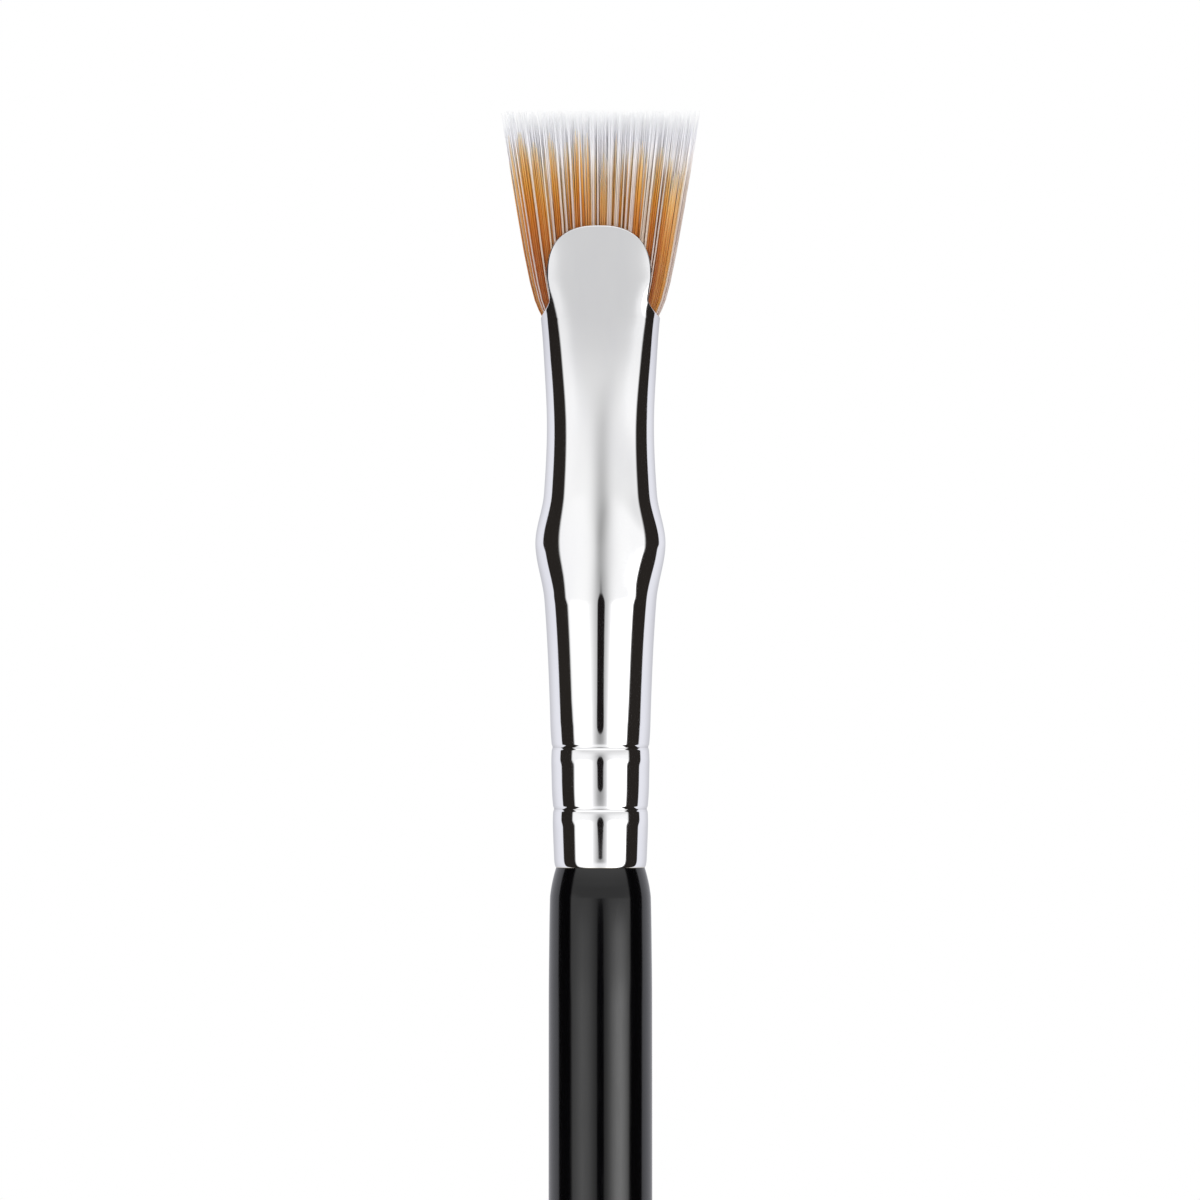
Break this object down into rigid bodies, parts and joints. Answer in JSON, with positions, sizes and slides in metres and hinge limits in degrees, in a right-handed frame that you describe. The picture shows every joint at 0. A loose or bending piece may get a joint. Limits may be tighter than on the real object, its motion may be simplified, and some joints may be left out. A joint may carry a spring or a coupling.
{
  "type": "duo-fibre fan make-up brush",
  "caption": "Cosmetic fan brush with a flared flat head of short and long filaments, a waisted notched metal ferrule and a turned handle.",
  "frame": {"origin": "middle of the small flat on the tail end of the handle", "axes": "+Z along the handle from its tail to the tips of the fan, X across the width of the fan, -Y towards the broad front of the fan"},
  "size_m": [0.0144, 0.0076, 0.18],
  "materials": {
    "handle_lacquer": "turned wood under black gloss lacquer",
    "ferrule_plating": "bright plated tube, satin at the pressed tongues",
    "wood_glue": "dried glue",
    "resin": "clear cast resin",
    "thread": "waxed thread",
    "white_filament": "fine tapered synthetic filament, soft sheen",
    "amber_filament": "fine tapered synthetic filament, soft sheen"
  },
  "bodies": {
    "root": {"handle": "handle_lacquer", "ferrule": "ferrule_plating", "tenon_glue": "wood_glue", "resin_plug": "resin", "binding_thread": "thread", "white_filaments_front": "white_filament", "amber_filaments_front": "amber_filament", "white_filaments_core": "white_filament", "amber_filaments_back": "amber_filament", "white_filaments_back": "white_filament"}
  },
  "joints": []
}
